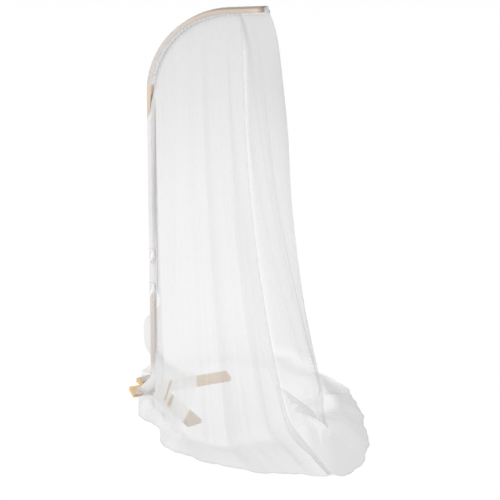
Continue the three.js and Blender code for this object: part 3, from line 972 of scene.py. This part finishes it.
def far_cover(across, fall, lie, place):
    """Cover of the far panel: faint behind the near one, gathered in front, then the train."""
    a, f, t = shares_of(across, fall, lie)
    edge = np.interp(f, front_edge_falls, front_edge_places)
    alone = smoothstep(a - edge, -0.02, 0.015)
    under = (0.08 + 0.1 * smoothstep(a, 0.3, 0.6)) * (1 - 0.6 * smoothstep(f, 0.5, 0.85))
    seen = 0.30 + 0.12 * smoothstep(a, 0.55, 0.75)
    seen = seen + 0.63 * smoothstep(a, 0.58, 0.85) * hump(f, 0, 0.43)
    cover = towards(under, seen, alone) + 0.1 * gathered_under_seam(f)
    cover = cover * (1 - 0.45 * smoothstep(f, 0.87, 0.92) * alone)
    return towards(cover, far_train_cover(a, t, place), smoothstep(t, 0, 0.05))


def corner_cover(lie, place):
    """Cover of the far panel's front corner: thin where it hangs, denser where it lies."""
    lying = 0.1 + 0.22 * right_of(near_train_edge, place)
    lying = lying + 0.22 * right_of(light_edge, place, 0.02) * smoothstep(lie, 0.3, 0.5)[None, :]
    return towards(0.08, lying, smoothstep(lie, 0.04, 0.16)[None, :])


# %% How dense a margin looks, and its tone with painted light and shade
def margin_cover(side, places, lie, z):
    """Cover of a margin: dense where it lies against the pole, light where it flies out."""
    place = np.asarray(places)[:, None]
    held = smoothstep(z, held_bottom - 0.05, held_bottom)[None, :]
    hanging = smoothstep(z, 0.03, 0.08)[None, :]
    bunched = (1 - smoothstep(z, 0.1, 0.17)) * (1 - smoothstep(lie, 0.25, 0.6))
    rise = 0.13 * hanging if side < 0 else 0.0
    loose = 0.42 + rise + (0.47 - rise) * bunched[None, :]
    loose = loose + 0.26 * (1 - hanging) * (1 - bunched) * (1 - smoothstep(lie, 0.8, 0.95))
    strip = 0.28 + 0.62 * bunched[None, :]
    if side < 0:
        strip = towards(strip, 0.85, held)
    return towards(strip, towards(loose, 0.85, held), smoothstep(place, 0.55, 1.0))


def margin_whiteness(lie, z):
    """A margin's tone with painted light and shade: lighter against the pole and where it ends on
    the floor, darker higher up.
    """
    held = smoothstep(z, 0.05, held_bottom)
    white = 0.3 + 0.7 * held + 0.4 * (1 - held) * (1 - smoothstep(lie, 0.4, 0.9))
    # Painted shade: the margin's tone is darker higher up.
    return white - 0.35 * smoothstep(z, 0.6, 0.85)


def whiteness(side, across, fall, lie):
    """Painted light and shade in the net's tone: lighter beside the pole, further down and in the
    doubled foot, darker under the seam and along the far train.
    """
    a, f, t = shares_of(across, fall, lie)
    # Painted light beside the pole and lower down, painted shade under the seam and along the far
    # train.
    beside_pole = hump(a, 0, 0.16) * (1 - smoothstep(t, 0, 0.3))
    beside_pole = beside_pole * (0.65 + 0.35 * smoothstep(f, 0.36, 0.55))
    low = 0.22 * smoothstep(f, 0.12, 0.45)
    if side > 0:
        return np.clip(np.maximum(beside_pole, low * (1 - t)), 0, 1)
    doubled = doubled_foot(a, f, (0.84, 0.88))
    return np.clip(np.maximum(beside_pole, low) + 0.2 * doubled, 0, 1)


# %% [markdown]
# ## The two panels
# Each panel is one continuous sheet: margin, main part and train, and on the far one the front
# corner. The turn onto the floor is rounded afterwards, since cloth can't crease sharply by its
# own weight. The loose hems get a slow ripple.

# %% The two panels
hang_rows = 118
train_rows = 36
main_columns = 380
margin_columns = 22
corner_columns = 30
landing_rows_rounded = 5.5
rounding_passes = 26
# Each ripple of a loose hem: its pitch along the hem and its depth.
hem_ripples = ((0.21, 0.0045), (0.11, 0.003), (0.053, 0.0016))


def row_places():
    """Each row's share of the drop and its share of the way along the train."""
    fall = np.linspace(0, 1, hang_rows) ** 0.92
    lie = np.linspace(0, 1, train_rows + 1)[1:]
    return np.concatenate([fall, np.ones(train_rows)]), np.concatenate([np.zeros(hang_rows), lie])


def round_the_landing(grid):
    """Rounds the turn onto the floor, most at the landing row and less away from it."""
    rows = np.arange(grid.shape[1])
    weight = hump(rows, hang_rows - 1, landing_rows_rounded)[None, :, None]
    for _ in range(rounding_passes):
        middle = (grid[:, :-2] + grid[:, 2:]) / 2
        grid[:, 1:-1] += 0.5 * weight[:, 1:-1] * (middle - grid[:, 1:-1])
    grid[..., 2] = np.maximum(grid[..., 2], ground_height(grid[..., 0], grid[..., 1]))
    return grid


def ripple_hem(grid, lie, seed):
    """Moves the last rows of the train in and out a little, as a soft hem lies."""
    rng = np.random.default_rng(seed)
    length = lengths_along(grid[:, -1])
    along_train = grid[:, -1] - grid[:, -8]
    along_train[:, 2] = 0
    ripple = np.zeros(len(length))
    for pitch, depth in hem_ripples:
        ripple += depth * np.sin(2 * math.pi * length / pitch + rng.uniform(0, 2 * math.pi))
    grid += unit(along_train)[:, None] * (ripple[:, None] * lie[None, :] ** 3)[..., None]
    return grid


def net_sheet(name, grid, cloth_uv, cover, white):
    """A sheet in the net's material, with its cover and whiteness, tied to the frame."""
    piece = sheet_from_grid(name, grid, cloth_uv)
    give_net(piece, cover, white)
    piece.data.materials.append(net)
    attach(piece, "root")
    return piece


def make_panel(name, side, table, count, seed, flat_width):
    """A panel with count big folds: side is -1 for the near one and 1 for the far one."""
    fall, lie = row_places()
    across = np.linspace(0, 1, main_columns)
    main = panel_points(side, table, across, fall, lie, fold_waves(across, fall, count, seed))
    edge_height = main[0, :, 2]
    places = np.linspace(3, 0, margin_columns, endpoint=False)
    margin = through_guides([main[0]] + margin_guides(side, main[0], lie), places)
    grid = ripple_hem(round_the_landing(np.concatenate([margin, main])), lie, seed)
    if side > 0:
        cover = far_cover(across, fall, lie, main)
    else:
        cover = near_cover(across, fall, lie)
    cover = np.concatenate([margin_cover(side, places, lie, edge_height), cover])
    margin_white = np.broadcast_to(margin_whiteness(lie, edge_height), margin.shape[:2])
    white = np.concatenate([margin_white, whiteness(side, across, fall, lie)])
    if side > 0:
        places = np.linspace(3 / corner_columns, 3, corner_columns)
        corner = through_guides([main[-1]] + corner_guides(main[-1], fall, lie), places)
        grid = np.concatenate([grid, corner])
        cover = np.concatenate([cover, corner_cover(lie, corner)])
        white = np.concatenate([white, np.zeros(corner.shape[:2])])
    steps_down = np.linalg.norm(np.diff(grid, axis=1), axis=-1).mean(0)
    drop = np.concatenate([[0], np.cumsum(steps_down)])
    uv = cloth_map(np.linspace(0, flat_width, len(grid)), drop)
    if side < 0:
        grid, uv, cover, white = grid[::-1], uv[::-1], cover[::-1], white[::-1]
    return net_sheet(name, grid, uv, cover, white), grid


near_panel, near_grid = make_panel(
    "curtain_near_net", -1, near_strands, count=6, seed=11, flat_width=1.4)
far_panel, far_grid = make_panel(
    "curtain_far_net", 1, far_strands, count=7, seed=23, flat_width=1.6)
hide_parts("curtain_near")
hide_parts("curtain_far")
print("faces of the near panel:", len(near_panel.data.polygons))
print("faces of the far panel:", len(far_panel.data.polygons))

# %% [markdown]
# ## Hems
# A net's edge is folded over and stitched, so it reads as a slightly denser, whiter band. Each hem
# is a narrow strip laid on its panel, taken from the panel's own edge points. The hems on the
# floor show their row of small stitches too: one stitch is modelled, repeated with Array and bent
# along the edge with Curve.

# %% Hems
hem_width = 0.008
hem_lift = 0.0007
hem_cover = 0.25
hem_white = 0.5
stitch_radius = 0.00035
hem_pitch = 0.0042
seam_pitch = 0.0035


def hem_band(name, edge, inward, lift, seen):
    """A strip of doubled net along an edge, hem_width wide and laid on the panel."""
    shares = np.linspace(0, 1, 4)
    grid = np.stack([edge + lift + inward * hem_width * share for share in shares])
    cover = np.broadcast_to(hem_cover * seen, grid.shape[:2])
    white = np.full(grid.shape[:2], hem_white)
    uv = cloth_map(shares * hem_width, lengths_along(edge))
    return net_sheet(name, grid, uv, cover, white)


def stitch_row(name, path, pitch, cover):
    """One stitch, repeated and bent along a path of points."""
    line = bpy.data.curves.new(name + "_line", "CURVE")
    line.dimensions = "3D"
    spline = line.splines.new("POLY")
    spline.points.add(len(path) - 1)
    for point, place in zip(spline.points, path):
        point.co = (*place, 1.0)
    guide = bpy.data.objects.new(name + "_line", line)
    bpy.context.scene.collection.objects.link(guide)
    start_clean()
    bpy.ops.mesh.primitive_cylinder_add(
        vertices=6, radius=stitch_radius, depth=0.62 * pitch,
        location=(0.31 * pitch, 0.0, 0.0), rotation=(0.0, math.pi / 2, 0.0))
    stitch = bpy.context.object
    bpy.ops.object.transform_apply(location=True, rotation=True, scale=True)
    rounded = stitch.modifiers.new("rounded", "BEVEL")
    rounded.width = 0.5 * stitch_radius
    rounded.segments = 1
    row = stitch.modifiers.new("row", "ARRAY")
    row.fit_type = "FIT_CURVE"
    row.curve = guide
    row.use_relative_offset = False
    row.use_constant_offset = True
    row.constant_offset_displace = (pitch, 0.0, 0.0)
    bend = stitch.modifiers.new("bend", "CURVE")
    bend.object = guide
    apply_modifiers(stitch)
    bpy.data.objects.remove(guide)
    piece = settle(stitch, name, thread)
    count = len(piece.data.vertices)
    give_net(piece, np.full(count, cover), np.ones(count))
    return piece


def train_hem(side, grid, name):
    """The hem of a train, with its stitches. Under the near train, the far one's fades out."""
    lift = np.array([0.0, 0.0, hem_lift])
    edge = grid[:, -1]
    inward = unit(grid[:, -3] - edge)
    seen = 1.0 if side < 0 else smoothstep(np.linspace(0, 1, len(grid)), 0.6, 0.75)
    band = hem_band("hem_" + name, edge, inward, lift, seen)
    line = (edge + 0.85 * hem_width * inward + 1.5 * lift)[::2]
    stitch_cover = 0.5 if side < 0 else 0.25
    return [band, stitch_row("hem_stitches_" + name, line, hem_pitch, stitch_cover)]


def front_hem(grid, name):
    """The hem down a panel's front edge, fainter towards the floor."""
    edge = grid[0, 2:]
    rows = np.arange(2, grid.shape[1])
    seen = 0.7 - 0.45 * smoothstep(rows, 0.8 * hang_rows, hang_rows)
    lift = np.array([0.0, -hem_lift, 0.0003])
    return hem_band("hem_front_" + name, edge, unit(grid[4, 2:] - edge), lift, seen)


near_hems = train_hem(-1, near_grid, "near")
far_hems = train_hem(1, far_grid, "far")
near_hems.append(front_hem(near_grid, "near"))
print("hems:", ", ".join(piece.name for piece in near_hems + far_hems))

# %% [markdown]
# ## The sleeve
# The canopy is pulled over the arm by a sewn channel. Net this fine ruches into many small rings
# on the way, and its two edges come together in a seam below the wood. So the sleeve is one
# strip, folded over the wood: a path from one edge in the seam round to the other is repeated
# along the pole, with small seeded ripples. Past the arm's tip it draws together in a bunched end.

# %% The sleeve
sleeve_gap = 0.0009
sleeve_steps = 460
sleeve_sides = 36
sleeve_past_tip = 0.013
# The seam below the wood: half the gap between its two faces, and where they end and begin.
seam_half = 0.0008
seam_points = 6
seam_bottom = 0.0092
seam_top = 0.0024
seam_wave_pitch = 0.017
seam_wave_depth = 0.0009
# Each size of ruche: its pitch along the pole and its depth, at half_section from the pole's line.
ruches = ((0.033, 0.0004), (0.019, 0.0004), (0.0115, 0.0003), (0.0071, 0.00018))
ruche_rise = 0.0006
half_section = 0.012
# The bunched end: its gathers, the share by which it draws together, and how far it drops.
bunch_gathers = 0.0016
bunch_shrink = 0.62
bunch_drop = 0.011


def rounded_ring(half_wide, half_thick, radius, count):
    """Points evenly round a rectangle with round corners."""
    corners = []
    for k, (sx, sy) in enumerate([(1, 1), (-1, 1), (-1, -1), (1, -1)]):
        for t in np.linspace(0, math.pi / 2, 7):
            turn = t + k * math.pi / 2
            corners.append((
                sx * (half_wide - radius) + radius * math.cos(turn),
                sy * (half_thick - radius) + radius * math.sin(turn)))
    ring = np.array(corners + corners[:1])
    length = lengths_along(ring)
    even = np.linspace(0, length[-1], count, endpoint=False)
    return np.stack([np.interp(even, length, ring[:, k]) for k in (0, 1)], -1)


def on_bow(length, across, inward):
    """Points beside the pole's line, across it and in towards the canopy."""
    point = bow_point(length, inward)
    point[..., 1] = across
    return point


def sleeve_path():
    """The strip's path round the wood's section, across and inward, from edge to edge."""
    ring = rounded_ring(
        pole_width / 2 + sleeve_gap, pole_thickness / 2 + sleeve_gap, pole_ease + sleeve_gap,
        sleeve_sides)
    below = np.argmax(ring[:, 1] - 0.01 * np.abs(ring[:, 0]))
    ring = np.roll(ring, -below, axis=0)
    if ring[3, 0] < 0:
        ring = ring[::-1]
    depth = pole_thickness / 2 + np.linspace(seam_bottom, seam_top, seam_points)
    seam = np.stack([np.full(seam_points, seam_half), depth], -1)
    return np.vstack([seam, ring[2:-1], seam[::-1] * (-1, 1)])


def ruched(path, place, on_wood, length):
    """The strip's points along the pole: ripples round the wood, and a bunched end past it."""
    rng = np.random.default_rng(5)
    s = length[None, :]
    turn = (place / place[-1] * 2 * math.pi)[:, None]
    ripple = np.zeros((len(path), len(length)))
    for pitch, deep in ruches:
        phase, lean = rng.uniform(0, 2 * math.pi, 2)
        sway = 0.9 * np.sin(2 * turn + lean) + 0.8 * np.sin(turn + 3 * phase)
        ripple += deep * np.sin(2 * math.pi * s / pitch + phase + sway)
    out = 1 + on_wood * (ripple + ruche_rise) / half_section
    section = path[:, None] * out[..., None]
    seam_wave = seam_wave_depth * np.sin(2 * math.pi * s / seam_wave_pitch)
    section[..., 0] += (1 - on_wood) * seam_wave
    closing = smoothstep(length, pole_length + 0.001, pole_length + sleeve_past_tip)
    gathers = bunch_gathers * closing * np.sin(7 * turn + 0.6 * np.sin(3 * turn)) * on_wood
    section *= (1 - bunch_shrink * closing)[None, :, None]
    section[..., 1] += bunch_drop * closing[None, :] + gathers
    return on_bow(np.broadcast_to(s, ripple.shape), section[..., 0], section[..., 1])


def sleeve_look(from_edge, on_wood, length):
    """Cover and tone: thin over the arm, denser and with painted light round the lower bend,
    densest and whitest in the seam.
    """
    s = length[None, :]
    on_side = 1 - smoothstep(from_edge, 0.018, 0.034)
    down_bend = 1 - smoothstep(s, sleeve_start + 0.05, sleeve_start + 0.42)
    cover = 0.24 + 0.31 * down_bend + 0.55 * on_side * (0.35 + 0.65 * down_bend)
    bare_end = on_wood * between(
        s, (pole_length - 0.07, pole_length - 0.03), (pole_length, pole_length + 0.002))
    bunched_end = smoothstep(s, pole_length, pole_length + 0.003)
    cover = cover * (1 - 0.75 * bare_end) + (0.75 - cover) * bunched_end
    cover = np.clip(towards(cover, 0.92, 1 - on_wood), 0, 0.95)
    seam_white = (1 - on_wood) * (1 - 0.6 * bunched_end)
    # Painted light: the net is lighter down the bend, where light falls on it.
    return cover, np.maximum(0.5 * smoothstep(down_bend, 0, 0.4), seam_white)


def make_sleeve():
    """One strip of net folded over the strip of wood, with both its edges in the seam."""
    length = np.linspace(sleeve_start, pole_length + sleeve_past_tip, sleeve_steps)
    path = sleeve_path()
    place = lengths_along(path)
    from_edge = np.minimum(place, place[-1] - place)[:, None]
    on_wood = smoothstep(from_edge, 0.006, 0.014)
    grid = ruched(path, place, on_wood, length)
    cover, white = sleeve_look(from_edge, on_wood, length)
    return net_sheet("sleeve_net", grid, cloth_map(place, length), cover, white)


sleeve = make_sleeve()
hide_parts("canopy_sleeve")
print("faces of the sleeve:", len(sleeve.data.polygons))

# %% [markdown]
# ## The seam's stitches
# The channel is closed by a line of stitches just under the wood, seen as a fine white line. The
# same row of stitches as on the hems runs down both faces of the seam.

# %% The seam's stitches
seam_margin = 0.004
stitches_below_pole = 0.0055
seam_places = np.linspace(sleeve_start + seam_margin, pole_length - seam_margin, 90)
for face, name in ((-1, "near"), (1, "far")):
    line = on_bow(
        seam_places, face * (seam_half + stitch_radius), pole_thickness / 2 + stitches_below_pole)
    row = stitch_row("seam_stitches_" + name, line, seam_pitch, 0.95)
    print("faces of", row.name + ":", len(row.data.polygons))

# %% [markdown]
# ## The ties
# Two narrow ribbons hold the back margins behind the pole. A ribbon is a flat strip that goes round
# the back, meets in a knot on the near side and ends in two curled tails. Each strip is a grid of
# points along its path, and the knot starts as a small sphere that is pressed into wraps.

# %% The ties
ribbon_width = 0.009
ribbon_half = pole_width / 2 + 0.0042
ribbon_back = pole_thickness / 2 + 0.0008
ribbon_corner = 0.0029
ribbon_points = 6
tie_heights = {"tie_upper": 0.628, "tie_lower": 0.484}
knot_x = 0.011
knot_size = (0.0065, 0.0036, 0.0055)
wrap_depth = 0.13
wrap_turns = 3.2
wrap_lean = 0.55
tail_points = 30
tail_length = 0.052
tail_gap = 0.003
tail_wave = 0.0018
tail_curl = 0.002
# Each tail: how far it leans and stands out, how it twists, and how far it starts from the knot.
tail_shapes = ((-0.009, 0.0065, 0.9, 0.0), (0.004, 0.0030, -1.5, 0.0016))


def ribbon_strip(path, across):
    """Grid of a ribbon: its path, spread across its width."""
    shares = np.linspace(-0.5, 0.5, ribbon_points)
    return np.stack([path + across * ribbon_width * share for share in shares])


def tie_band(height):
    """Round the back of the pole, from one margin to the other."""
    turns = np.linspace(0, math.pi / 2, 8)
    turned_x = -ribbon_back + ribbon_corner * (1 - np.sin(turns))
    turned_y = -ribbon_half + ribbon_corner * (1 - np.cos(turns))
    x = np.concatenate([[knot_x, 0.002], turned_x])
    y = np.concatenate([[-ribbon_half, -ribbon_half], turned_y])
    path = np.stack([
        np.concatenate([x, x[::-1]]), np.concatenate([y, -y[::-1]]),
        np.full(2 * len(x), height)], -1)
    return ribbon_strip(path, np.broadcast_to((0.0, 0.0, 1.0), path.shape))


def tie_tail(height, lean, out, twist, lift):
    """A tail that falls from the knot, turns about its own line and curls at its end."""
    t = np.linspace(0, 1, tail_points)
    path = np.stack([
        knot_x + lean * t ** 0.8 + tail_wave * np.sin(5 * t),
        -ribbon_half - tail_gap - lift - out * np.sin(math.pi * t * 0.9),
        height - tail_length * t + tail_curl * t ** 3,
    ], -1)
    turn = twist * smoothstep(t, 0.15, 1.0)
    across = np.stack([np.cos(turn), -np.sin(turn), np.full(tail_points, 0.1)], -1)
    return ribbon_strip(path, across)


def make_tie(name, height):
    """A ribbon with its band, its two tails and a knot pressed into wraps, in one piece."""
    start_clean()
    bpy.ops.mesh.primitive_uv_sphere_add(
        segments=24, ring_count=16, radius=1.0, location=(0.0, 0.0, 0.0))
    knot = bpy.context.object
    for vertex in knot.data.vertices:
        x, y, z = vertex.co
        wrap = 1 + wrap_depth * math.cos(wrap_turns * (z + wrap_lean * x) * math.pi / 2)
        vertex.co = (x * knot_size[0] * wrap, y * knot_size[1] * wrap, z * knot_size[2])
    knot.location = (knot_x, -ribbon_half - knot_size[1] * 0.8, height)
    bpy.ops.object.transform_apply(location=True, rotation=True, scale=True)
    parts = [knot]
    strips = [tie_band(height)] + [tie_tail(height, *shape) for shape in tail_shapes]
    for index, grid in enumerate(strips):
        along = np.linspace(0, 0.06, grid.shape[1])
        uv = cloth_map(np.linspace(0, ribbon_width, ribbon_points), along)
        parts.append(sheet_from_grid(f"{name}_strip_{index}", grid, uv))
    start_clean()
    for part in parts:
        part.select_set(True)
    bpy.context.view_layer.objects.active = parts[1]
    bpy.ops.object.join()
    tie = settle(bpy.context.object, name, ribbon_cloth, 60.0)
    count = len(tie.data.vertices)
    give_net(tie, np.full(count, 0.93), np.ones(count))
    return tie


for node, height in tie_heights.items():
    tie = make_tie(node + "_ribbon", height)
    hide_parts(node)
    print("faces of", tie.name + ":", len(tie.data.polygons))

# %% [markdown]
# ## Stage and light
# The object stands on a pale floor in soft light from the upper left, with a bright world all
# round. A brighter world would give a white background too, but it would also bleach the net. So
# white is mixed in only for the rays by which the camera sees the floor and the world, and the
# light that falls on the object keeps its own strength.

# %% Stage and light
floor_size = 24.0
floor_grey = (0.88, 0.88, 0.88, 1.0)
floor_white_share = 0.92
floor_glow = 1.02
world_light = 0.78
look_at = (0.3, 0.0, 0.7)


def white_behind(add, shaded, white, white_share):
    """Mixes a plain white in for camera, glossy and transmission rays."""
    rays = add("ShaderNodeLightPath").outputs
    seen = calculated(add, "MAXIMUM", rays["Is Camera Ray"], rays["Is Glossy Ray"])
    seen = calculated(add, "MAXIMUM", seen, rays["Is Transmission Ray"])
    share = calculated(add, "MULTIPLY", seen, white_share)
    return add("ShaderNodeMixShader", {"Fac": share, 1: shaded, 2: white}).outputs["Shader"]


def make_floor():
    """A wide, pale floor that catches the object's shadow."""
    start_clean()
    bpy.ops.mesh.primitive_plane_add(size=floor_size, location=(0.0, 0.0, 0.0))
    floor = bpy.context.object
    floor.name = "floor"
    material, shader, add = new_material("floor")
    fill(shader, {"Base Color": floor_grey, "Roughness": 0.9, "Specular IOR Level": 0.1})
    white = add("ShaderNodeEmission", {"Strength": floor_glow}).outputs["Emission"]
    mixed = white_behind(add, shader.outputs["BSDF"], white, floor_white_share)
    fill(material.node_tree.nodes["Material Output"], {"Surface": mixed})
    floor.data.materials.append(material)
    return floor


def make_world():
    """A bright world all round, plain white where the camera looks at it."""
    world = bpy.data.worlds.new("studio")
    bpy.context.scene.world = world
    world.use_nodes = True
    add = node_maker(world)
    light = world.node_tree.nodes["Background"]
    fill(light, {"Color": (1.0, 1.0, 1.0, 1.0), "Strength": world_light})
    white = add("ShaderNodeBackground", {"Strength": 1.0}).outputs["Background"]
    mixed = white_behind(add, light.outputs["Background"], white, 1.0)
    fill(world.node_tree.nodes["World Output"], {"Surface": mixed})


def add_lamp(name, place, size, power):
    """A round lamp that looks at the middle of the object."""
    data = bpy.data.lights.new(name, "AREA")
    data.shape = "DISK"
    data.size = size
    data.energy = power
    lamp = bpy.data.objects.new(name, data)
    lamp.location = place
    lamp.rotation_euler = (Vector(look_at) - Vector(place)).to_track_quat("-Z", "Y").to_euler()
    bpy.context.scene.collection.objects.link(lamp)
    return lamp


make_floor()
make_world()
key = add_lamp("key", (-2.9, -3.7, 3.2), 2.8, 105.0)
fill_in = add_lamp("fill", (3.8, -2.2, 1.8), 2.4, 50.0)
bpy.context.scene.view_settings.view_transform = "Standard"
print("lamps:", key.name, "and", fill_in.name)
